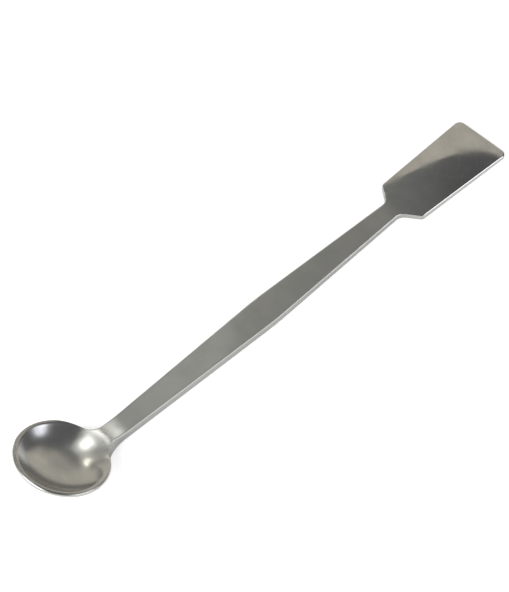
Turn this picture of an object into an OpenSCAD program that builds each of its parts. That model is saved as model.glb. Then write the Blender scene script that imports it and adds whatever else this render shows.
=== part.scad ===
// Double-ended laboratory spatula, one forged and pressed piece of stainless steel:
// a round spoon bowl, a flat shank that swells towards its middle, and a flat blade
// that widens to a square tip.
//
// The tool is first laid out flat along X, with its top face in the plane z = 0 and
// the bowl's centre at x = 0. Its top face and its underside are two grids of points
// over the same outline, and a rounded edge joins them all the way round, so the tool
// is one closed skin. The skin is then bent up at the neck, and set down as it rests:
// on the lowest place at the bowl's end and on the blade's tip.

/* [Bowl] */
// Diameter of the bowl over its rim
bowl_diameter = 25.7; // [22:0.1:30]
// Depth of the hollow below the rim
bowl_depth = 2.6; // [2.2:0.1:4]
// Shape of the hollow: 2 is an even curve, more gives a flatter floor and a steeper wall
dish_power = 2.8; // [2:0.1:4]
// Thickness of the metal at the bottom of the bowl
bowl_wall = 1.6; // [1.2:0.1:2.4]
// The same shape on the outside of the bowl
cap_power = 3; // [2.4:0.1:4]
// Width of the rim, from its outside to where the hollow would meet a flat top
rim_width = 0.7; // [0.6:0.1:1.6]
// Height over which the hollow is blended into the rim
lip_blend = 0.15; // [0.05:0.05:0.4]
// The same where the hollow runs out into the shank
saddle_blend = 1.3; // [0.5:0.1:1.8]
// Height of the rim's outside, from its top to where the bowl's outside would meet it
rim_height = 0.9; // [0.85:0.05:1.6]

/* [Neck] */
// Angle between the plane of the rim and the face of the shank
bend_angle = 25.5; // [4:0.5:32]
// Length of metal that the bend is spread over
bend_length = 6; // [3:0.5:8]
// Distance from the rim out to the middle of the bend
bend_offset = 2.75; // [0:0.25:4]
// Radius of the fillets between the rim and the sides of the shank, at the top
neck_fillet = 4; // [3:0.1:6]
// Radius of the same fillets at their foot, on the underside
foot_fillet = 10.5; // [8:0.5:20]
// Angle round the rim over which the thick neck thins out to the edge of the bowl
root_spread = 45; // [25:5:80]
// Height over which the neck's underside is blended into the bowl
root_blend = 1; // [0.5:0.1:1.2]

/* [Shank] */
// Length of the whole tool, laid out flat
flat_length = 182; // [150:1:220]
// Width where the shank leaves the bowl
neck_width = 5.6; // [4.5:0.1:7]
// Width at the widest place
belly_width = 9.5; // [8:0.1:12]
// Distance of the widest place from the middle of the bowl
belly_distance = 73; // [50:1:90]
// Radius that softens the widest place
belly_radius = 115; // [40:5:200]
// Width just before the blade
tang_width = 6.1; // [5:0.1:8]
// Thickness where the shank leaves the bowl
neck_thickness = 3.3; // [2.6:0.1:3.6]
// Thickness just before the blade
tang_thickness = 2.2; // [1.7:0.1:2.6]

/* [Blade] */
// Length of the blade, from its shoulders to its tip
blade_length = 38; // [30:1:50]
// Width across the shoulders
shoulder_width = 17.1; // [14:0.1:22]
// Width across the tip
tip_width = 19.9; // [16:0.1:26]
// Thickness at the tip
tip_thickness = 1.7; // [1.4:0.1:2]
// Angle that the shoulders lean towards the tip, from square across
shoulder_slant = 37; // [10:1:40]
// Radius of the fillets in front of the shoulders
root_fillet = 3.2; // [1.5:0.1:4]
// Radius of the shoulders' corners
shoulder_radius = 1.5; // [0.9:0.1:2.5]
// Radius of the tip's corners
corner_radius = 2.1; // [0.9:0.1:4]
// How far the blade's long edges lie below the middle of its face
blade_crown = 0.15; // [0:0.05:0.4]
// How far the blade droops from its root to its tip
blade_droop = 0.2; // [0:0.05:0.6]

/* [Edges] */
// Radius of the rounded edges all the way round
edge_radius = 0.5; // [0.3:0.05:0.55]

/* [Hidden] */

// How finely the skin is divided
neck_steps = 10;        // across the neck, the shank and the blade
rim_steps = 62;         // round the free part of the rim
dish_rings = 9;         // from the bottom of the bowl to its lip
lip_rings = 6;          // over the lip
edge_steps = 4;         // round each edge
corner_steps = 5;       // round each corner of the outline
fillet_steps = 10;      // round each fillet of the neck
run_steps = 6;          // along the bend of the neck
blade_steps = 6;        // along the blade

// Outline of the flat layout, on its +Y side
bowl_radius = bowl_diameter / 2;
ring_radius = bowl_radius - edge_radius;
tip_x = flat_length - bowl_radius;
shoulder_x = tip_x - blade_length;
root_x = shoulder_x - (shoulder_width - tang_width) / 2 * tan(shoulder_slant);
neck_point = [bowl_radius, neck_width / 2];
belly_point = [belly_distance, belly_width / 2];
root_point = [root_x, tang_width / 2];
shoulder_point = [shoulder_x, shoulder_width / 2];
tip_point = [tip_x, tip_width / 2];
tip_middle = [tip_x, 0];

// Fillets between the circle of the rim and the straight side of the shank
shank_heading = heading(neck_point, belly_point);
function fillet_centre(radius) =
    let (
        offset = left(shank_heading) * neck_point + radius,
        reach = sqrt(pow(bowl_radius + radius, 2) - pow(offset, 2))
    )
    ahead(shank_heading) * reach + left(shank_heading) * offset;
neck_centre = fillet_centre(neck_fillet);
neck_angle = atan2(neck_centre.y, neck_centre.x);
foot_centre = fillet_centre(foot_fillet);
foot_angle = atan2(foot_centre.y, foot_centre.x);

// How far the foot stands out from a place on the top outline, in its outward direction
function foot_reach(place, out) =
    let (from = place - foot_centre, along = from * out)
    place * ahead(shank_heading) > foot_centre * ahead(shank_heading)
        || atan2(abs(place.y), place.x) > foot_angle
        ? 0
        : -along - sqrt(max(0, pow(along, 2) - from * from + pow(foot_fillet, 2)));

// Hollow and outside of the bowl, each a curve turned about the bowl's middle
hollow_radius = bowl_radius - rim_width;
cap_depth = bowl_depth + bowl_wall;
function dish_curve(out) = bowl_depth * (pow(out / hollow_radius, dish_power) - 1);
function cap_curve(out) = (cap_depth - rim_height) * pow(out / bowl_radius, cap_power) - cap_depth;

// Bend of the neck
bend_start = bowl_radius + bend_offset + bend_length / 2;
bend_end = bend_start - bend_length;
bend_radius = bend_length / bend_angle * 180 / PI;

function heading(from, to) = atan2(to.y - from.y, to.x - from.x);
function ahead(angle) = [cos(angle), sin(angle)];
function left(angle) = [-sin(angle), cos(angle)];
function clamp(value) = max(0, min(1, value));

// Smaller of two heights, with the corner between them rounded off
function soft_min(a, b, blend) = min(a, b) - pow(max(blend - abs(a - b), 0), 2) / (4 * blend);

// An outline is a list of [place, outward direction], here along an arc between two headings
function arc(centre, radius, first, last, steps) =
    [for (i = [0 : steps])
        let (angle = first + (last - first) * i / steps)
        [centre - sign(last - first) * radius * left(angle), left(angle)]];

// The same round the corner b of the path a, b, c
function corner(a, b, c, radius, steps) =
    let (
        first = heading(a, b),
        last = heading(b, c),
        start = b - ahead(first) * radius * tan(abs(last - first) / 2)
    )
    arc(start + sign(last - first) * radius * left(first), radius, first, last, steps);

// Places along the straight side between the ends of two corners, both ends left out
function straight(from, to, steps) =
    [for (i = [1 : 1 : steps - 1]) [from[0] + (to[0] - from[0]) * i / steps, from[1]]];

neck_arc = arc(neck_centre, neck_fillet, neck_angle - 90, shank_heading, fillet_steps);
belly_arc = corner(neck_point, belly_point, root_point, belly_radius, corner_steps);
root_arc = corner(belly_point, root_point, shoulder_point, root_fillet, corner_steps);
shoulder_arc = corner(root_point, shoulder_point, tip_point, shoulder_radius, corner_steps);
tip_arc = corner(shoulder_point, tip_point, tip_middle, corner_radius, corner_steps);

// Place on the side where the bend and the rise are over
neck_end = [
    neck_arc[fillet_steps][0] + ahead(shank_heading) * bend_length,
    neck_arc[fillet_steps][1]
];

// Stations from the neck to the tip; the first one is on the rim
stations = concat(
    neck_arc,
    straight(neck_arc[fillet_steps], neck_end, run_steps),
    [neck_end],
    straight(neck_end, belly_arc[0], blade_steps),
    belly_arc,
    straight(belly_arc[corner_steps], root_arc[0], blade_steps),
    root_arc,
    shoulder_arc,
    straight(shoulder_arc[corner_steps], tip_arc[0], blade_steps),
    tip_arc
);
last_station = len(stations) - 1;
spokes = neck_steps + rim_steps;
rings = dish_rings + lip_rings;

// Share of the thick neck that is left at an angle round the rim
function root_share(angle) = pow(cos(90 * clamp((abs(angle) - neck_angle) / root_spread)), 2);

// Height of the lip's blend, and how far out the hollow is free of it
function lip_at(angle) = lip_blend + (saddle_blend - lip_blend) * root_share(angle);
function dish_reach(lip) = hollow_radius * pow(1 - lip / bowl_depth, 1 / dish_power);

// The same at an angle round the rim; across the neck it grows from nothing in the middle
function rim_foot(angle) =
    let (side = ahead(max(abs(angle), neck_angle)))
    foot_reach(bowl_radius * side, side) * pow(min(1, abs(angle) / neck_angle), 2);

// Share of the way along the blade
function along_blade(x) = clamp((x - root_x) / (tip_x - root_x));

// Height of the top face
function top_z(x, y) =
    x < root_x
        ? soft_min(dish_curve(norm([x, y])), 0, lip_at(atan2(y, x)))
        : -blade_droop * pow(along_blade(x), 2)
            - blade_crown * pow(2 * y / tip_width, 2) * sin(90 * along_blade(x));

// Height of the underside, under the bowl and under the rest
function cap_z(x, y) =
    soft_min(
        cap_curve(norm([x, y])),
        -neck_thickness * root_share(atan2(y, x)),
        root_blend
    );
function thickness(x) =
    lookup(x, [[bowl_radius, neck_thickness], [root_x, tang_thickness], [tip_x, tip_thickness]]);
function base_z(x) = -thickness(x) - blade_droop * pow(along_blade(x), 2);

// Angle of each spoke, first across the neck and then round the rest of the rim
function spoke(i) =
    i <= neck_steps
        ? neck_angle * (2 * i / neck_steps - 1)
        : neck_angle + (360 - 2 * neck_angle) * (i - neck_steps) / rim_steps;
function within_half_turn(angle) = angle > 180 ? angle - 360 : angle;

// How far the rounded edge turns under, which is a quarter turn less the slope it meets
probe = edge_radius / 10;
function turn_under(angle) =
    let (rim = ahead(angle) * (bowl_radius - probe), inner = ahead(angle) * (bowl_radius - 2 * probe))
    90 - atan((cap_z(rim.x, rim.y) - cap_z(inner.x, inner.y)) / probe);

// Edge points of a bowl spoke at a distance out from the middle
function top_spoke(angle, ring) =
    let (
        start = dish_reach(lip_at(within_half_turn(angle))),
        out = ring <= dish_rings
            ? start * ring / dish_rings
            : start + (ring_radius - start) * (ring - dish_rings) / lip_rings,
        place = ahead(angle) * out
    )
    [place.x, place.y, top_z(place.x, place.y)];
function base_spoke(angle, ring) =
    let (
        edge = ring_radius + edge_radius * cos(turn_under(angle)) + rim_foot(within_half_turn(angle)),
        place = ahead(angle) * edge * sin(90 * ring / rings)
    )
    [place.x, place.y, cap_z(place.x, place.y)];

// Points across one station; near the bowl the row still follows the curve of the rim
function across(station, i, foot = 0) =
    let (
        inner = stations[station][0] - (edge_radius - foot) * stations[station][1],
        angle = spoke(i),
        bow = ring_radius * clamp(1 - station / fillet_steps)
    )
    [inner.x + bow * (cos(angle) - cos(neck_angle)), inner.y * sin(angle) / sin(neck_angle)];

top_points = concat(
    [[0, 0, top_z(0, 0)]],
    [for (ring = [1 : rings], i = [0 : spokes - 1]) top_spoke(spoke(i), ring)],
    [for (station = [1 : last_station], i = [0 : neck_steps])
        let (place = across(station, i)) [place.x, place.y, top_z(place.x, place.y)]]
);
base_points = concat(
    [[0, 0, cap_z(0, 0)]],
    [for (ring = [1 : rings], i = [0 : spokes - 1]) base_spoke(spoke(i), ring)],
    [for (station = [1 : last_station], i = [0 : neck_steps])
        let (place = across(station, i, foot_reach(stations[station][0], stations[station][1])))
        [place.x, place.y, base_z(place.x)]]
);

// Numbers of the points on a ring of the bowl, and on a row across the rest
function on_ring(ring, i) = 1 + (ring - 1) * spokes + i % spokes;
function on_row(station, i) =
    station == 0 ? on_ring(rings, i) : 1 + rings * spokes + (station - 1) * (neck_steps + 1) + i;

// Once round the outline, seen from above: the rim, the -Y side, the tip and the +Y side
function mirrored(entry) = [[entry[0].x, -entry[0].y], [entry[1].x, -entry[1].y]];
border = concat(
    [for (i = [neck_steps : spokes]) on_ring(rings, i)],
    [for (station = [1 : last_station]) on_row(station, 0)],
    [for (i = [1 : neck_steps - 1]) on_row(last_station, i)],
    [for (station = [last_station : -1 : 1]) on_row(station, neck_steps)]
);
border_turn = concat(
    [for (i = [neck_steps : spokes]) turn_under(spoke(i % spokes))],
    [for (i = [spokes + 1 : len(border) + neck_steps - 1]) 90]
);
border_out = concat(
    [for (i = [neck_steps : spokes]) ahead(spoke(i % spokes))],
    [for (station = [1 : last_station]) mirrored(stations[station])[1]],
    [for (i = [1 : neck_steps - 1]) [1, 0]],
    [for (station = [last_station : -1 : 1]) stations[station][1]]
);

// Points of the rounded edge between the two faces, from the top down
function flat_out(entry) = [border_out[entry].x, border_out[entry].y, 0];
function edge_row(entry) =
    let (
        top = top_points[border[entry]],
        base = base_points[border[entry]],
        out = flat_out(entry),
        turn = border_turn[entry],
        top_centre = top - [0, 0, edge_radius],
        base_centre = base - edge_radius * (out * cos(turn) - [0, 0, sin(turn)])
    )
    concat(
        [for (i = [1 : edge_steps])
            let (angle = 90 * i / edge_steps)
            top_centre + edge_radius * (out * sin(angle) + [0, 0, cos(angle)])],
        [for (i = [0 : edge_steps - 1])
            let (angle = turn * i / edge_steps)
            base_centre + edge_radius * (out * cos(angle) - [0, 0, sin(angle)])]
    );
edge_points = [for (entry = [0 : len(border) - 1]) each edge_row(entry)];
flat_points = concat(top_points, base_points, edge_points);

// Bend of the neck: the bowl turns up about an axis across the tool
function bent(p) =
    let (
        angle = bend_angle * clamp((bend_start - p.x) / bend_length),
        beyond = max(0, bend_end - p.x),
        ahead_of_bend = max(bend_start, p.x)
    )
    [
        ahead_of_bend - bend_radius * sin(angle) - beyond * cos(angle) + p.z * sin(angle),
        p.y,
        bend_radius * (1 - cos(angle)) + beyond * sin(angle) + p.z * cos(angle)
    ];
bent_points = [for (p = flat_points) bent(p)];

// Slope of the plane that touches the lowest place at the bowl's end and the blade's tip
tip_foot = [tip_x - edge_radius, 0, base_z(tip_x)];
rest_angle = max([for (p = bent_points) if (p.x < belly_distance)
    atan2(tip_foot.z - p.z, tip_foot.x - p.x)]);
function rested(p) = [
    p.x * cos(rest_angle) + p.z * sin(rest_angle),
    p.y,
    p.z * cos(rest_angle) - p.x * sin(rest_angle)
];
rested_points = [for (p = bent_points) rested(p)];
xs = [for (p = rested_points) p.x];
zs = [for (p = rested_points) p.z];
origin = [(min(xs) + max(xs)) / 2, 0, min(zs)];

// Faces, each a triangle or two, numbered clockwise as seen from outside
base_start = len(top_points);
edge_start = 2 * base_start;
row_length = 2 * edge_steps;
function on_edge(entry, i) =
    let (wrapped = entry % len(border))
    i == 0 ? border[wrapped]
    : i > row_length ? border[wrapped] + base_start
    : edge_start + wrapped * row_length + i - 1;
function quad(a, b, c, d) = [[a, b, c], [a, c, d]];
top_faces = concat(
    [for (i = [0 : spokes - 1]) [0, on_ring(1, i + 1), on_ring(1, i)]],
    [for (ring = [1 : rings - 1], i = [0 : spokes - 1])
        each quad(on_ring(ring, i), on_ring(ring, i + 1), on_ring(ring + 1, i + 1), on_ring(ring + 1, i))],
    [for (station = [0 : last_station - 1], i = [0 : neck_steps - 1])
        each quad(
            on_row(station, i), on_row(station, i + 1),
            on_row(station + 1, i + 1), on_row(station + 1, i)
        )]
);
base_faces = [for (face = top_faces) [for (i = [2 : -1 : 0]) face[i] + base_start]];
edge_faces = [for (entry = [0 : len(border) - 1], i = [0 : row_length])
    each quad(on_edge(entry, i), on_edge(entry + 1, i), on_edge(entry + 1, i + 1), on_edge(entry, i + 1))];

module spatula() {
    color([0.56, 0.56, 0.54])
        polyhedron([for (p = rested_points) p - origin], concat(top_faces, base_faces, edge_faces));
}

spatula();
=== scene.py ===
# Double-ended laboratory spatula in stainless steel: bowl, shank and blade in one skin.
import math

import bpy
import numpy as np
from mathutils import Matrix, Vector


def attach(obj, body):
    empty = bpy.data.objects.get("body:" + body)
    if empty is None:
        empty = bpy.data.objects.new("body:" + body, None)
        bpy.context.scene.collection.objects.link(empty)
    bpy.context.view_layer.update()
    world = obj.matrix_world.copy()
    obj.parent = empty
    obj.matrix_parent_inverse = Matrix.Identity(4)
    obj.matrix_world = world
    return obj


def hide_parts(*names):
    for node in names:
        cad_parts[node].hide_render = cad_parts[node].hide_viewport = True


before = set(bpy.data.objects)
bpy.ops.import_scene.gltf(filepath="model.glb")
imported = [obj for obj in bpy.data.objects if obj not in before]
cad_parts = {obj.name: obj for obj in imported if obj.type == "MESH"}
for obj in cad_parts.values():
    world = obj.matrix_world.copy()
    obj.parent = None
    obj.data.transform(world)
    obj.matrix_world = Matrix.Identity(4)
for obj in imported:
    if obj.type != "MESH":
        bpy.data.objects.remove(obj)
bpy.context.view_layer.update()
mm = 0.001

# Sizes in mm and angles in degrees, of the tool laid out flat with the bowl's middle at x = 0.
# saddleBlend has to stay below bowlDepth, or no dish is left for the skin to start from.
toolSize = {
    "bowlDiameter": 25.7, "bowlDepth": 2.6, "dishPower": 2.8, "bowlWall": 1.6, "capPower": 3.0,
    "rimWidth": 1.1, "lipBlend": 0.25, "saddleBlend": 2.4, "rimHeight": 0.9,
    "bendAngle": 25.45, "bendLength": 10.5, "bendOffset": 2.75,
    "neckFillet": 4.0, "footFillet": 10.5, "rootSpread": 45.0, "rootBlend": 1.0,
    "flatLength": 181.915, "neckWidth": 5.6, "bellyWidth": 9.5, "bellyDistance": 73.0,
    "bellyRadius": 115.0, "tangWidth": 6.1, "neckThickness": 3.3, "tangThickness": 2.2,
    "bladeLength": 38.0, "shoulderWidth": 17.1, "tipWidth": 19.9, "tipThickness": 1.7,
    "shoulderSlant": 37.0, "rootFillet": 3.2, "shoulderRadius": 1.5, "cornerRadius": 2.1,
    "bladeCrown": 0.15, "bladeDroop": 0.2, "edgeRadius": 0.5,
    "polishLead": 4.0, "polishLength": 6.0,  # the blade's polish starts before its root and fades in
}
# How finely the skin is divided
toolSteps = {
    "neck": 24, "rim": 156, "dish": 30, "lip": 12, "edge": 8,
    "corner": 12, "fillet": 28, "run": 18, "side": 20,
}


def clamp(value):
    return np.clip(value, 0.0, 1.0)


def ahead(angle):
    return np.stack([np.cos(np.radians(angle)), np.sin(np.radians(angle))], -1)


def leftOf(angle):
    return np.stack([-np.sin(np.radians(angle)), np.cos(np.radians(angle))], -1)


def headingOf(start, end):
    return math.degrees(math.atan2(end[1] - start[1], end[0] - start[0]))


def softMin(a, b, blend):
    return np.minimum(a, b) - np.maximum(blend - np.abs(a - b), 0) ** 2 / (4 * blend)


def arcRun(centre, radius, first, last, steps):
    angle = np.linspace(first, last, steps + 1)
    side = leftOf(angle)
    return np.hstack([centre - math.copysign(radius, last - first) * side, side])


def cornerRun(a, b, c, radius, steps):
    first, last = headingOf(a, b), headingOf(b, c)
    start = b - ahead(first) * radius * math.tan(math.radians(abs(last - first)) / 2)
    centre = start + math.copysign(radius, last - first) * leftOf(first)
    return arcRun(centre, radius, first, last, steps)


def sideRun(start, end, steps):
    share = np.linspace(0, 1, steps + 1)[1:-1, None]
    between = start[:2] + (end[:2] - start[:2]) * share
    return np.hstack([between, np.repeat(start[None, 2:], steps - 1, 0)])


class FlatTool:
    # The tool's outline and heights before its neck is bent
    def __init__(self, size, steps):
        self.size = s = size
        self.bowlRadius = s["bowlDiameter"] / 2
        self.ringRadius = self.bowlRadius - s["edgeRadius"]
        self.tipX = s["flatLength"] - self.bowlRadius
        shoulderX = self.tipX - s["bladeLength"]
        slant = math.tan(math.radians(s["shoulderSlant"]))
        self.rootX = shoulderX - (s["shoulderWidth"] - s["tangWidth"]) / 2 * slant
        neck = np.array([self.bowlRadius, s["neckWidth"] / 2])
        belly = np.array([s["bellyDistance"], s["bellyWidth"] / 2])
        root = np.array([self.rootX, s["tangWidth"] / 2])
        shoulder = np.array([shoulderX, s["shoulderWidth"] / 2])
        tip = np.array([self.tipX, s["tipWidth"] / 2])
        self.heading = headingOf(neck, belly)
        neckCentre, self.neckAngle = self.fillet(neck, s["neckFillet"])
        self.footCentre, self.footAngle = self.fillet(neck, s["footFillet"])
        self.hollowRadius = self.bowlRadius - s["rimWidth"]
        self.capDepth = s["bowlDepth"] + s["bowlWall"]
        self.bendStart = self.bowlRadius + s["bendOffset"] + s["bendLength"] / 2
        self.bendEnd = self.bendStart - s["bendLength"]
        self.bendRadius = s["bendLength"] / math.radians(s["bendAngle"])
        neckStart = self.neckAngle - 90
        neckRun = arcRun(neckCentre, s["neckFillet"], neckStart, self.heading, steps["fillet"])
        neckEnd = neckRun[-1].copy()
        neckEnd[:2] += ahead(self.heading) * s["bendLength"]
        bellyRun = cornerRun(neck, belly, root, s["bellyRadius"], steps["corner"])
        rootRun = cornerRun(belly, root, shoulder, s["rootFillet"], steps["corner"])
        shoulderRun = cornerRun(root, shoulder, tip, s["shoulderRadius"], steps["corner"])
        tipRun = cornerRun(shoulder, tip, np.array([self.tipX, 0.0]), s["cornerRadius"], steps["corner"])
        side = steps["side"]
        self.stations = np.vstack([
            neckRun, sideRun(neckRun[-1], neckEnd, steps["run"]), neckEnd[None],
            sideRun(neckEnd, bellyRun[0], side), bellyRun, sideRun(bellyRun[-1], rootRun[0], side),
            rootRun, shoulderRun, sideRun(shoulderRun[-1], tipRun[0], side), tipRun,
        ])

    def fillet(self, neck, radius):
        # centre of a fillet between the bowl and the shank's edge, and its direction from the bowl's middle
        offset = leftOf(self.heading) @ neck + radius
        reach = math.sqrt((self.bowlRadius + radius) ** 2 - offset**2)
        centre = ahead(self.heading) * reach + leftOf(self.heading) * offset
        return centre, math.degrees(math.atan2(centre[1], centre[0]))

    def footReach(self, place, out):
        # how far the foot's wider fillet stands out past the edge above it
        away = place - self.footCentre
        along = (away * out).sum(-1)
        free = np.maximum(0, along**2 - (away**2).sum(-1) + self.size["footFillet"] ** 2)
        beyond = place @ ahead(self.heading) > self.footCentre @ ahead(self.heading)
        beyond |= np.degrees(np.arctan2(np.abs(place[..., 1]), place[..., 0])) > self.footAngle
        return np.where(beyond, 0.0, -along - np.sqrt(free))

    def rimFoot(self, angle):
        side = ahead(np.maximum(np.abs(angle), self.neckAngle))
        share = np.minimum(1, np.abs(angle) / self.neckAngle) ** 2
        return self.footReach(self.bowlRadius * side, side) * share

    def rootShare(self, angle):
        return np.cos(np.pi / 2 * clamp((np.abs(angle) - self.neckAngle) / self.size["rootSpread"])) ** 2

    def dishCurve(self, out):
        return self.size["bowlDepth"] * ((out / self.hollowRadius) ** self.size["dishPower"] - 1)

    def capCurve(self, out):
        rise = self.capDepth - self.size["rimHeight"]
        return rise * (out / self.bowlRadius) ** self.size["capPower"] - self.capDepth

    def lipAt(self, angle):
        s = self.size
        return s["lipBlend"] + (s["saddleBlend"] - s["lipBlend"]) * self.rootShare(angle)

    def dishReach(self, lip):
        return self.hollowRadius * (1 - lip / self.size["bowlDepth"]) ** (1 / self.size["dishPower"])

    def bladeShare(self, x):
        return clamp((x - self.rootX) / (self.tipX - self.rootX))

    def topHeight(self, x, y):
        s = self.size
        bowl = softMin(self.dishCurve(np.hypot(x, y)), 0.0, self.lipAt(np.degrees(np.arctan2(y, x))))
        share = self.bladeShare(x)
        crown = s["bladeCrown"] * (2 * y / s["tipWidth"]) ** 2 * np.sin(np.pi / 2 * share)
        return np.where(x < self.rootX, bowl, -s["bladeDroop"] * share**2 - crown)

    def capHeight(self, x, y):
        root = -self.size["neckThickness"] * self.rootShare(np.degrees(np.arctan2(y, x)))
        return softMin(self.capCurve(np.hypot(x, y)), root, self.size["rootBlend"])

    def baseHeight(self, x, y):
        s = self.size
        thickness = np.interp(
            x, [self.bowlRadius, self.rootX, self.tipX],
            [s["neckThickness"], s["tangThickness"], s["tipThickness"]])
        return -thickness - s["bladeDroop"] * self.bladeShare(x) ** 2

    def bend(self, x, y, z):
        # bends the flat tool at its neck, which lifts the bowl
        angle = math.radians(self.size["bendAngle"]) * clamp((self.bendStart - x) / self.size["bendLength"])
        beyond = np.maximum(0, self.bendEnd - x)
        start = np.maximum(self.bendStart, x)
        sin, cos = np.sin(angle), np.cos(angle)
        return np.stack([
            start - self.bendRadius * sin - beyond * cos + z * sin, y,
            self.bendRadius * (1 - cos) + beyond * sin + z * cos,
        ], -1)


def gridFaces(a, b, c, d):
    return np.stack([a, b, c, d], -1).reshape(-1, 4)


class SkinGrid:
    # Numbers the points of one face: its middle, rings round the bowl, then rows across the rest
    def __init__(self, steps, lastRow):
        self.neck, self.lastRow = steps["neck"], lastRow
        self.spokes = steps["neck"] + steps["rim"]
        self.rings = steps["dish"] + steps["lip"]
        self.inBowl = 1 + self.rings * self.spokes

    def onRing(self, n, i):
        return 1 + (n - 1) * self.spokes + np.asarray(i) % self.spokes

    def onRow(self, n, i):
        n, i = np.broadcast_arrays(n, i)
        onLaterRow = self.inBowl + (n - 1) * (self.neck + 1) + i
        return np.where(n == 0, self.onRing(self.rings, i), onLaterRow)

    def border(self):
        allRows = np.arange(1, self.lastRow + 1)
        return np.concatenate([
            self.onRing(self.rings, np.arange(self.neck, self.spokes + 1)), self.onRow(allRows, 0),
            self.onRow(self.lastRow, np.arange(1, self.neck)), self.onRow(allRows[::-1], self.neck)])

    def faces(self):
        # numbered counter-clockwise as seen from above
        quads = []
        for place, first, last, width in (
                (self.onRing, 1, self.rings, self.spokes), (self.onRow, 0, self.lastRow, self.neck)):
            n, i = np.meshgrid(np.arange(first, last), np.arange(width), indexing="ij")
            quads.append(gridFaces(place(n, i), place(n + 1, i), place(n + 1, i + 1), place(n, i + 1)))
        index = np.arange(self.spokes)
        fan = np.column_stack([
            np.zeros(self.spokes, int), self.onRing(1, index), self.onRing(1, index + 1)])
        return np.vstack(quads), fan


def spokeAngles(tool, steps):
    neck, rim = steps["neck"], steps["rim"]
    index = np.arange(neck + rim)
    return np.where(
        index <= neck, tool.neckAngle * (2 * index / neck - 1),
        tool.neckAngle + (360 - 2 * tool.neckAngle) * (index - neck) / rim)


def turnUnderAt(tool, spoke):
    # how far the rounded edge turns under, a quarter turn less the slope it meets
    probe = tool.size["edgeRadius"] / 10
    outer, inner = (ahead(spoke) * (tool.bowlRadius - n * probe) for n in (1, 2))
    return 90 - np.degrees(np.arctan((tool.capHeight(*outer.T) - tool.capHeight(*inner.T)) / probe))


def facePlans(tool, grid, steps, spoke, turnUnder):
    # where the points of the top and of the base lie as seen from above
    edge = tool.size["edgeRadius"]
    halfTurn = np.where(spoke > 180, spoke - 360, spoke)
    ring = np.arange(1, grid.rings + 1)[:, None]
    start = tool.dishReach(tool.lipAt(halfTurn))[None]
    topOut = np.where(
        ring <= steps["dish"], start * ring / steps["dish"],
        start + (tool.ringRadius - start) * (ring - steps["dish"]) / steps["lip"])
    reach = tool.ringRadius + edge * np.cos(np.radians(turnUnder)) + tool.rimFoot(halfTurn)
    baseOut = reach[None] * np.sin(np.pi / 2 * ring / grid.rings)

    # rows bow round the bowl at first, and are straight from the end of the neck's fillet
    places, outs = tool.stations[1:, :2], tool.stations[1:, 2:]
    bow = tool.ringRadius * clamp(1 - np.arange(1, grid.lastRow + 1) / steps["fillet"])[:, None]
    across = np.radians(spoke[: grid.neck + 1])[None]
    neckTurn = math.radians(tool.neckAngle)

    def plan(out, foot):
        bowl = (out[..., None] * ahead(spoke)[None]).reshape(-1, 2)
        inner = places - (edge - foot)[:, None] * outs
        x = inner[:, :1] + bow * (np.cos(across) - math.cos(neckTurn))
        y = inner[:, 1:] * np.sin(across) / math.sin(neckTurn)
        return np.vstack([[[0, 0]], bowl, np.stack([x, y], -1).reshape(-1, 2)])

    return plan(topOut, np.zeros(grid.lastRow)), plan(baseOut, tool.footReach(places, outs))


def roundedEdge(tool, grid, steps, spoke, turnUnder, topFlat, baseFlat):
    # a quarter turn from the top to the side, then on under until it meets the base
    edge, outs, border = tool.size["edgeRadius"], tool.stations[1:, 2:], grid.border()
    rimSpokes = np.arange(grid.neck, grid.spokes + 1) % grid.spokes
    turn = np.concatenate([turnUnder[rimSpokes], np.full(len(border) - len(rimSpokes), 90.0)])
    turn = np.radians(turn)[:, None]
    mirrored = np.array([1, -1])
    out = np.vstack([
        ahead(spoke[rimSpokes]), outs * mirrored, np.repeat([[1.0, 0.0]], grid.neck - 1, 0), outs[::-1]])
    out = np.column_stack([out, np.zeros(len(border))])
    up = np.array([0, 0, 1.0])
    topCentre = topFlat[border] - up * edge
    baseCentre = baseFlat[border] - edge * (out * np.cos(turn) - up * np.sin(turn))
    share = np.arange(1, steps["edge"] + 1) / steps["edge"] * np.pi / 2
    upper = topCentre[:, None] + edge * (
        out[:, None] * np.sin(share)[None, :, None] + up * np.cos(share)[None, :, None])
    share = turn * np.arange(steps["edge"])[None] / steps["edge"]
    lower = baseCentre[:, None] + edge * (
        out[:, None] * np.cos(share)[..., None] - up * np.sin(share)[..., None])
    return np.concatenate([upper, lower], 1)


def edgeFaces(grid, rowLength, under):
    # each line of the edge runs from the top's border to the base's
    border = grid.border()
    lines = np.arange(len(border))
    ladder = np.column_stack([
        border, 2 * under + lines[:, None] * rowLength + np.arange(rowLength)[None], border + under])
    following = np.roll(ladder, -1, 0)
    return gridFaces(ladder[:, :-1], ladder[:, 1:], following[:, 1:], following[:, :-1])


def vertexNormals(points, quads, fans):
    total = np.zeros_like(points)
    for faces in (quads, fans):
        a, b, c, d = (points[faces[:, n]] for n in (0, 1, 2, -1))
        corners = faces.shape[1]
        faceNormal = np.cross(c - a, d - b) if corners == 4 else np.cross(b - a, c - a)
        for n in range(corners):
            np.add.at(total, faces[:, n], faceNormal)
    return total / np.linalg.norm(total, axis=1)[:, None]


def surfaceNormals(surface, plan, way):
    step = 1e-3
    x, y = plan.T
    along = surface(x + step, y) - surface(x - step, y)
    sideways = surface(x, y + step) - surface(x, y - step)
    normal = np.cross(along, sideways)
    return way * normal / np.linalg.norm(normal, axis=1)[:, None]


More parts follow.
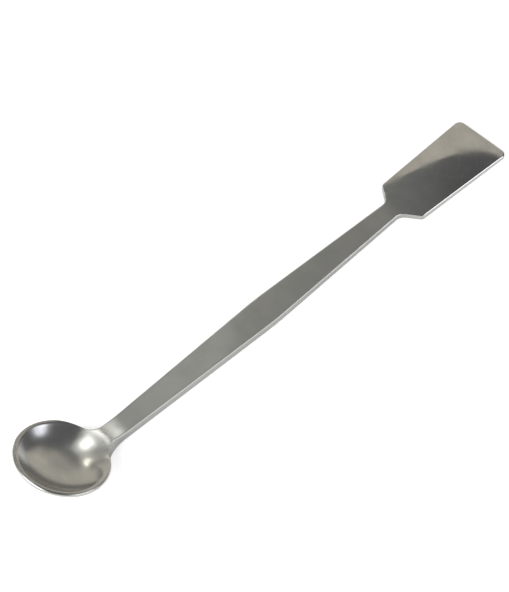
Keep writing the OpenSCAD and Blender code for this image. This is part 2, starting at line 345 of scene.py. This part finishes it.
def setDown(tool, points, normals):
    # lays the tool on the lowest place at the bowl's end and on the blade's tip
    s = tool.size
    foot = np.array([tool.tipX - s["edgeRadius"], 0, tool.baseHeight(np.array(tool.tipX), np.array(0.0))])
    near = points[points[:, 0] < s["bellyDistance"]]
    restAngle = np.arctan2(foot[2] - near[:, 2], foot[0] - near[:, 0]).max()
    sin, cos = math.sin(restAngle), math.cos(restAngle)
    rest = np.array([[cos, 0, sin], [0, 1, 0], [-sin, 0, cos]])
    points, normals = points @ rest.T, normals @ rest.T
    lowest, highest = points.min(0), points.max(0)
    return points - np.array([(lowest[0] + highest[0]) / 2, 0, lowest[2]]), normals


def buildSkin(tool, steps):
    grid = SkinGrid(steps, len(tool.stations) - 1)
    spoke = spokeAngles(tool, steps)
    turnUnder = turnUnderAt(tool, spoke)
    top, base = facePlans(tool, grid, steps, spoke, turnUnder)

    def baseHeight(x, y):
        inBowl, beyond = slice(None, grid.inBowl), slice(grid.inBowl, None)
        return np.concatenate([
            tool.capHeight(x[inBowl], y[inBowl]), tool.baseHeight(x[beyond], y[beyond])])

    topFlat = np.column_stack([top, tool.topHeight(*top.T)])
    baseFlat = np.column_stack([base, baseHeight(*base.T)])
    edgeFlat = roundedEdge(tool, grid, steps, spoke, turnUnder, topFlat, baseFlat)
    flat = np.vstack([topFlat, baseFlat, edgeFlat.reshape(-1, 3)])
    points = tool.bend(*flat.T)

    quads, fan = grid.faces()
    under = len(top)
    quads = np.vstack([quads, quads[:, ::-1] + under, edgeFaces(grid, edgeFlat.shape[1], under)])
    fans = np.vstack([fan, fan[:, ::-1] + under])
    normals = vertexNormals(points, quads, fans)
    normals[:under] = surfaceNormals(lambda x, y: tool.bend(x, y, tool.topHeight(x, y)), top, 1)
    normals[under : 2 * under] = surfaceNormals(lambda x, y: tool.bend(x, y, baseHeight(x, y)), base, -1)
    points, normals = setDown(tool, points, normals)
    return points, normals, quads, fans, flat[:, 0], 2 * under


def makeSkin(size, steps):
    tool = FlatTool(size, steps)
    points, normals, quads, fans, flatX, edgeFrom = buildSkin(tool, steps)
    mesh = bpy.data.meshes.new("spatulaSkin")
    mesh.from_pydata((points * mm).tolist(), [], quads.tolist() + fans.tolist())
    mesh.polygons.foreach_set("use_smooth", [True] * len(mesh.polygons))
    mesh.normals_split_custom_set_from_vertices(normals.tolist())
    skin = bpy.data.objects.new("spatula_skin", mesh)
    bpy.context.scene.collection.objects.link(skin)
    # where each finish lies, from 0 to 1 on every point
    shares = {
        "bowlShare": 1 - clamp((flatX - tool.bendEnd) / size["bendLength"]),
        "bladeShare": clamp((flatX - tool.rootX + size["polishLead"]) / size["polishLength"]),
        "edgeShare": np.arange(len(flatX)) >= edgeFrom,
    }
    for name, share in shares.items():
        mesh.attributes.new(name, "FLOAT", "POINT").data.foreach_set("value", share.astype(np.float32))
    return skin


skin = makeSkin(toolSize, toolSteps)
print("skin made:", len(skin.data.vertices), "points")

# Where a Mix node keeps its two inputs and its result
mixSockets = {"FLOAT": (2, 3, 0), "RGBA": (6, 7, 2)}


class NodeMaker:
    # Short ways to add nodes to one material or world
    def __init__(self, tree):
        self.nodes, self.links = tree.nodes, tree.links

    def put(self, value, socket):
        if isinstance(value, bpy.types.NodeSocket):
            self.links.new(value, socket)
        else:
            socket.default_value = value

    def maths(self, operation, *values):
        node = self.nodes.new("ShaderNodeMath")
        node.operation = operation
        for value, socket in zip(values, node.inputs):
            self.put(value, socket)
        return node.outputs[0]

    def mix(self, share, a, b, kind="FLOAT"):
        node = self.nodes.new("ShaderNodeMix")
        node.data_type = kind
        first, second, result = mixSockets[kind]
        self.put(share, node.inputs[0])
        self.put(a, node.inputs[first])
        self.put(b, node.inputs[second])
        return node.outputs[result]

    def ramp(self, value, low, high):
        node = self.nodes.new("ShaderNodeMapRange")
        node.interpolation_type = "SMOOTHSTEP"
        self.put(value, node.inputs["Value"])
        self.put(low, node.inputs["From Min"])
        self.put(high, node.inputs["From Max"])
        return node.outputs["Result"]

    def vectorMaths(self, operation, vector, other):
        node = self.nodes.new("ShaderNodeVectorMath")
        node.operation = operation
        self.put(vector, node.inputs[0])
        self.put(other, node.inputs[1])
        return node.outputs["Value"]

    def attribute(self, name):
        node = self.nodes.new("ShaderNodeAttribute")
        node.attribute_name = name
        return node.outputs["Fac"]

    def noise(self, look, turn=0.0, seed=0.0):
        turned = self.nodes.new("ShaderNodeVectorRotate")
        turned.rotation_type = "Z_AXIS"
        self.put(math.radians(turn), turned.inputs["Angle"])
        self.put(self.nodes.new("ShaderNodeTexCoord").outputs["Object"], turned.inputs["Vector"])
        spot = self.nodes.new("ShaderNodeMapping")
        self.put(turned.outputs[0], spot.inputs["Vector"])
        self.put(tuple(1 / (length * mm) for length in look["size"]), spot.inputs["Scale"])
        self.put((seed, seed * 2, seed * 3), spot.inputs["Location"])
        pattern = self.nodes.new("ShaderNodeTexNoise")
        self.put(spot.outputs[0], pattern.inputs["Vector"])
        self.put(1, pattern.inputs["Scale"])
        self.put(look["detail"], pattern.inputs["Detail"])
        return pattern.outputs["Fac"]


# Steel: a polished bowl, a satin shank and a blade that is nearly a mirror. Pattern sizes and
# heights are in mm, and each range is where its noise starts to show and where it is full.
steelSet = {
    "colour": (0.57, 0.57, 0.545, 1), "worn": (0.5, 0.505, 0.48, 1),
    "bowlRoughness": 0.225, "shankRoughness": 0.33, "bladeRoughness": 0.06,
    "mottle": {"size": (7.0, 7.0, 7.0), "detail": 4, "seed": 3, "range": (0.3, 0.7),
               "roughness": 0.05, "wearOnEdges": 0.3},
    "grain": {"size": (16.0, 0.2, 0.8), "detail": 1, "seed": 5, "height": 0.0004},
    "pits": {"size": (1.3, 1.3, 1.3), "detail": 5, "seed": 11, "range": (0.25, 0.75), "height": 0.0004},
    "scratches": {"size": (9.0, 0.09, 0.36), "detail": 1, "seeds": (7, 11, 15), "angles": (12, -27, 58),
                  "range": (0.68, 0.78), "roughness": 0.16, "bowlRoughness": 0.04},
    "bladeRelief": 0.15,
}


def makeSteel(look):
    steel = bpy.data.materials.new("stainlessSteel")
    steel.use_nodes = True
    make = NodeMaker(steel.node_tree)
    shader = make.nodes["Principled BSDF"]
    shader.inputs["Metallic"].default_value = 1
    mottleLook, grainLook, pitLook, scratchLook = (look[n] for n in ("mottle", "grain", "pits", "scratches"))
    bowl, blade, edge = (make.attribute(n) for n in ("bowlShare", "bladeShare", "edgeShare"))
    mottle = make.ramp(make.noise(mottleLook, seed=mottleLook["seed"]), *mottleLook["range"])

    # roughness: each part's own finish, a little uneven, and duller in the scratches
    scratches = 0.0
    for angle, seed in zip(scratchLook["angles"], scratchLook["seeds"]):
        line = make.ramp(make.noise(scratchLook, angle, seed), *scratchLook["range"])
        scratches = make.maths("MAXIMUM", scratches, line)
    finish = make.mix(bowl, look["shankRoughness"], look["bowlRoughness"])
    finish = make.mix(blade, finish, look["bladeRoughness"])
    uneven = make.maths("MULTIPLY_ADD", make.maths("SUBTRACT", mottle, 0.5), mottleLook["roughness"], finish)
    dulled = make.mix(bowl, scratchLook["roughness"], scratchLook["bowlRoughness"])
    rough = make.maths("ADD", uneven, make.maths("MULTIPLY", scratches, dulled))
    make.put(rough, shader.inputs["Roughness"])

    # colour: slightly darker where worn, less so on the edges
    worn = make.maths("MULTIPLY", mottle, make.mix(edge, 1.0, mottleLook["wearOnEdges"]))
    make.put(make.mix(worn, look["colour"], look["worn"], "RGBA"), shader.inputs["Base Color"])

    # relief: pits and lines along the tool, nearly gone on the blade
    grain = make.maths("MULTIPLY", make.noise(grainLook, seed=grainLook["seed"]), grainLook["height"])
    pits = make.ramp(make.noise(pitLook, seed=pitLook["seed"]), *pitLook["range"])
    height = make.maths("MULTIPLY_ADD", pits, pitLook["height"], grain)
    relief = make.mix(blade, 1.0, look["bladeRelief"])
    bump = make.nodes.new("ShaderNodeBump")
    bump.inputs["Distance"].default_value = mm
    make.put(make.maths("MULTIPLY", height, relief), bump.inputs["Height"])
    make.put(bump.outputs["Normal"], shader.inputs["Normal"])
    return steel


skin.data.materials.append(makeSteel(steelSet))
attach(skin, "root")
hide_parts("spatula")
print("steel made")

# Camera: angles in degrees, distance in mm, focal length and the part's place in the frame in pixels
cameraSet = {"turn": 43.273, "down": 56.4114, "roll": -0.2868, "distance": 332.197, "focal": 1150.01,
             "middle": (280.413, 302.253), "frame": (509, 592), "sensorWidth": 36}


def makeCamera(look):
    turn, down, roll = (math.radians(look[n]) for n in ("turn", "down", "roll"))
    forward = Vector((math.sin(turn) * math.cos(down), math.cos(turn) * math.cos(down), -math.sin(down)))
    level = Vector((math.cos(turn), -math.sin(turn), 0))
    upright = level.cross(forward)
    right = math.cos(roll) * level + math.sin(roll) * upright
    upright = -math.sin(roll) * level + math.cos(roll) * upright
    width, height = look["frame"]
    across = (look["middle"][0] - width / 2) / look["focal"] * look["distance"]
    above = -(look["middle"][1] - height / 2) / look["focal"] * look["distance"]
    data = bpy.data.cameras.new("viewCamera")
    data.sensor_width = look["sensorWidth"]
    data.lens = look["focal"] * look["sensorWidth"] / max(width, height)
    camera = bpy.data.objects.new("viewCamera", data)
    matrix = Matrix((right, upright, -forward)).transposed().to_4x4()
    matrix.translation = -(right * across + upright * above + forward * look["distance"]) * mm
    camera.matrix_world = matrix
    bpy.context.scene.collection.objects.link(camera)
    bpy.context.scene.camera = camera


makeCamera(cameraSet)
print("camera placed")

# Floor, which shows white to the camera and in the metal, and keeps the tool's shadow. Its size is
# in m, and in mm are the bowl's place along the tool and how far the painted shade round the tool reaches in
# the metal.
floorSet = {"size": 30.0, "colour": (0.9, 0.9, 0.89, 1), "glow": 0.5, "paintedShadeReach": 22.0, "bowlAt": -76.5}


def makeFloor(look):
    bpy.ops.mesh.primitive_plane_add(size=look["size"])
    floor = bpy.context.object
    floor.name = "floor"
    paper = bpy.data.materials.new("floorPaper")
    paper.use_nodes = True
    make = NodeMaker(paper.node_tree)
    shader = make.nodes["Principled BSDF"]
    shader.inputs["Base Color"].default_value = look["colour"]
    shader.inputs["Roughness"].default_value = 1
    shader.inputs["Specular IOR Level"].default_value = 0
    rays = make.nodes.new("ShaderNodeLightPath").outputs

    # painted shade: close to the tool the paper's glow fades out where the metal sees it, so the metal shows
    # the paper shaded there
    place = make.nodes.new("ShaderNodeTexCoord").outputs["Object"]
    split = make.nodes.new("ShaderNodeSeparateXYZ")
    make.put(place, split.inputs[0])
    fromAxis = make.maths("ABSOLUTE", split.outputs["Y"])
    fromBowl = make.vectorMaths("DISTANCE", place, (look["bowlAt"] * mm, 0, 0))
    bowlReach = make.maths("SUBTRACT", fromBowl, toolSize["bowlDiameter"] / 2 * mm)
    outsidePaintedShade = make.ramp(make.maths("MINIMUM", fromAxis, bowlReach), 0, look["paintedShadeReach"] * mm)
    inMetal = make.maths("MULTIPLY", rays["Is Glossy Ray"], outsidePaintedShade)
    seen = make.maths("MAXIMUM", inMetal, rays["Is Transmission Ray"])
    seen = make.maths("MAXIMUM", rays["Is Camera Ray"], seen)

    glow = make.nodes.new("ShaderNodeEmission")
    make.put(make.maths("MULTIPLY", seen, look["glow"]), glow.inputs["Strength"])
    both = make.nodes.new("ShaderNodeAddShader")
    make.put(shader.outputs[0], both.inputs[0])
    make.put(glow.outputs[0], both.inputs[1])
    make.put(both.outputs[0], make.nodes["Material Output"].inputs["Surface"])
    floor.data.materials.append(paper)


makeFloor(floorSet)
print("floor laid")

# Directions are written as seen from a place on the tool: degrees to the right and onward
# of straight up, in the plane of the floor as the camera stands.
cameraTurn = math.radians(cameraSet["turn"])
level = Vector((math.cos(cameraTurn), -math.sin(cameraTurn), 0))
onward = Vector((-level.y, level.x, 0))


def onFloor(right, further, height=0.0):
    return level * right + onward * further + Vector((0, 0, height))


def toward(right, further):
    fromUp = math.radians(math.hypot(right, further))
    side = onFloor(right, further).normalized() if right or further else level
    return side * math.sin(fromUp) + Vector((0, 0, math.cos(fromUp)))


# Places on the tool that lamps are set from: right, onward and up of its middle, in mm
places = {"middle": (0, 0, 0), "bowl": (-56, -53, 8), "neck": (-50, -47.5, 8)}

# Lamps, sizes and distances in mm, with the brightness that the metal sees
lampSet = {
    "top": {"seenFrom": "middle", "towards": (-38, -34), "distance": 900, "size": (700, 700), "turn": 0,
            "aim": "middle", "spread": 180, "colour": (1, 1, 1), "bright": 3.4, "round": False},
    "key": {"seenFrom": "bowl", "towards": (7.0, 36.5), "distance": 350, "size": (100, 62), "turn": -47,
            "aim": "neck", "spread": 11, "colour": (1, 1, 0.98), "bright": 9.5, "round": True},
    "keyGlow": {"seenFrom": "bowl", "towards": (12, 44), "distance": 350, "size": (110, 110), "turn": -47,
                "aim": "neck", "spread": 16, "colour": (1, 1, 0.98), "bright": 1.1, "round": True},
    "window": {"seenFrom": "bowl", "towards": (54, 21), "distance": 450, "size": (165, 120), "turn": 0,
               "aim": "bowl", "spread": 180, "colour": (0.93, 0.94, 1.07), "bright": 1.9, "round": True},
    "bulb": {"seenFrom": "bowl", "towards": (3, 56), "distance": 230, "size": (14, 14), "turn": 0,
             "aim": "bowl", "spread": 180, "colour": (1, 0.96, 0.85), "bright": 19.0, "round": True},
    "right": {"seenFrom": "middle", "towards": (55, -19), "distance": 700, "size": (600, 400), "turn": 0,
              "aim": "middle", "spread": 180, "colour": (1, 1, 1), "bright": 1.7, "round": False},
    "left": {"seenFrom": "bowl", "towards": (-60, -30), "distance": 600, "size": (600, 500), "turn": 0,
             "aim": "bowl", "spread": 180, "colour": (1, 1, 1), "bright": 1.0, "round": False},
    "leftBack": {"seenFrom": "bowl", "towards": (-75, 60), "distance": 600, "size": (400, 400), "turn": 0,
                 "aim": "bowl", "spread": 180, "colour": (1, 1, 1), "bright": 1.2, "round": False},
}


def makeLamp(name, look):
    data = bpy.data.lights.new(name, "AREA")
    data.shape = "ELLIPSE" if look["round"] else "RECTANGLE"
    data.size, data.size_y = (length * mm for length in look["size"])
    data.spread = math.radians(look["spread"])
    data.color = look["colour"]
    area = data.size * data.size_y * (math.pi / 4 if look["round"] else 1)
    # a narrow spread gathers the light, so it takes less power to look as bright
    half = data.spread / 2
    gathered = (math.tan(half) - half) / math.tan(half) if look["spread"] < 180 else 1
    data.energy = look["bright"] * math.pi * area * gathered
    lamp = bpy.data.objects.new(name, data)
    place = onFloor(*places[look["seenFrom"]]) + toward(*look["towards"]) * look["distance"]
    inward = (onFloor(*places[look["aim"]]) - place).normalized()
    side = inward.cross(Vector((0, 0, 1))).normalized()
    over = side.cross(inward)
    turn = math.radians(look["turn"])
    side, over = side * math.cos(turn) + over * math.sin(turn), over * math.cos(turn) - side * math.sin(turn)
    matrix = Matrix((side, over, -inward)).transposed().to_4x4()
    matrix.translation = place * mm
    lamp.matrix_world = matrix
    lamp.visible_camera = False
    bpy.context.scene.collection.objects.link(lamp)


for name, look in lampSet.items():
    makeLamp(name, look)
print("lamps hung:", len(lampSet))

# A low board glows in its own pale colour beyond the tool, higher on the right, with a round bite out of its
# upper edge: painted light, no lamp, that shows in the metal and lights the paper
glowingBoardSet = {"onward": 184.0, "from": -112.0, "to": 138.0, "lowHeight": 124.0, "height": 169.0,
            "stepFrom": 20.0, "stepTo": 56.0, "biteAt": 97.0, "biteWidth": 75.0, "biteDepth": 24.0,
            "steps": 16, "colour": (0.65, 0.61, 0.55, 1), "lightsOthers": True}

# Two cards lie on the paper beyond the tool, glow in their own colours and show only in the metal: the dark
# one is a painted shadow behind the bowl, the grey one a painted reflection that greys the paper beyond the
# tool. Corners right and onward, in mm
cardSet = {
    # painted shadow: a dark glowing sheet behind the bowl, seen only in the metal
    "paintedShadowCard": {"corners": [(-130, -36), (-60, -36), (-42, -29), (60, 184), (-130, 184)],
                 "lift": 0.3, "colour": (0.16, 0.155, 0.15, 1), "lightsOthers": False},
    # painted reflection: a grey glowing sheet that darkens the paper beyond the tool in the metal only
    "greyReflectionCard": {"corners": [(-60, 60), (300, 60), (300, 184), (-60, 184)],
                 "lift": 0.2, "colour": (0.5, 0.475, 0.44, 1), "lightsOthers": False},
}


def makePanel(name, corners, look):
    # a flat sheet that glows in its own colour, shows in the metal and casts no shadow
    mesh = bpy.data.meshes.new(name)
    mesh.from_pydata([tuple(corner * mm) for corner in corners], [], [list(range(len(corners)))])
    panel = bpy.data.objects.new(name, mesh)
    paint = bpy.data.materials.new(name + "Paint")
    paint.use_nodes = True
    make = NodeMaker(paint.node_tree)
    glow = make.nodes.new("ShaderNodeEmission")
    glow.inputs["Color"].default_value = look["colour"]
    make.put(glow.outputs[0], make.nodes["Material Output"].inputs["Surface"])
    mesh.materials.append(paint)
    bpy.context.scene.collection.objects.link(panel)
    panel.visible_camera = panel.visible_shadow = False
    panel.visible_diffuse = look["lightsOthers"]


def boardCorners(look):
    share = np.linspace(0, 1, look["steps"] + 1)
    stepAt = look["stepFrom"] + (look["stepTo"] - look["stepFrom"]) * share
    step = look["lowHeight"] + (look["height"] - look["lowHeight"]) * share**2 * (3 - 2 * share)
    biteAt = look["biteAt"] + look["biteWidth"] * (share - 0.5)
    bite = look["height"] - look["biteDepth"] * (1 - (2 * share - 1) ** 2)
    right = np.concatenate([[look["from"], look["from"]], stepAt, biteAt, [look["to"], look["to"]]])
    height = np.concatenate([[0, look["lowHeight"]], step, bite, [look["height"], 0]])
    return [onFloor(r, look["onward"], h) for r, h in zip(right, height)]


# the board is painted light: a glowing sheet, seen in the metal, that is no lamp
makePanel("board", boardCorners(glowingBoardSet), glowingBoardSet)
for name, look in cardSet.items():
    makePanel(name, [onFloor(*corner, look["lift"]) for corner in look["corners"]], look)
print("board and cards placed:", 1 + len(cardSet))

# World, dark with three grey patches that fade at their rims, angles in degrees
worldSet = {
    "dark": (0.13, 0.13, 0.137, 1),
    "patches": [
        {"towards": (-55, 72), "reach": 34, "softness": 10, "colour": (0.3, 0.3, 0.28, 1)},
        {"towards": (15, -88), "reach": 40, "softness": 12, "colour": (0.55, 0.55, 0.56, 1)},
        {"towards": (-22, 30), "reach": 30, "softness": 5, "colour": (0.31, 0.31, 0.3, 1)},
    ],
}


def makeWorld(look):
    world = bpy.data.worlds.new("studio")
    world.use_nodes = True
    make = NodeMaker(world.node_tree)
    direction = make.nodes.new("ShaderNodeTexCoord").outputs["Generated"]
    colour = look["dark"]
    for patch in look["patches"]:
        near = make.vectorMaths("DOT_PRODUCT", direction, toward(*patch["towards"]))
        outer, inner = (math.cos(math.radians(patch["reach"] + n * patch["softness"])) for n in (1, -1))
        colour = make.mix(make.ramp(near, outer, inner), colour, patch["colour"], "RGBA")
    make.put(colour, make.nodes["Background"].inputs["Color"])
    bpy.context.scene.world = world


makeWorld(worldSet)
print("world made")
bpy.context.scene.view_settings.view_transform = "Standard"
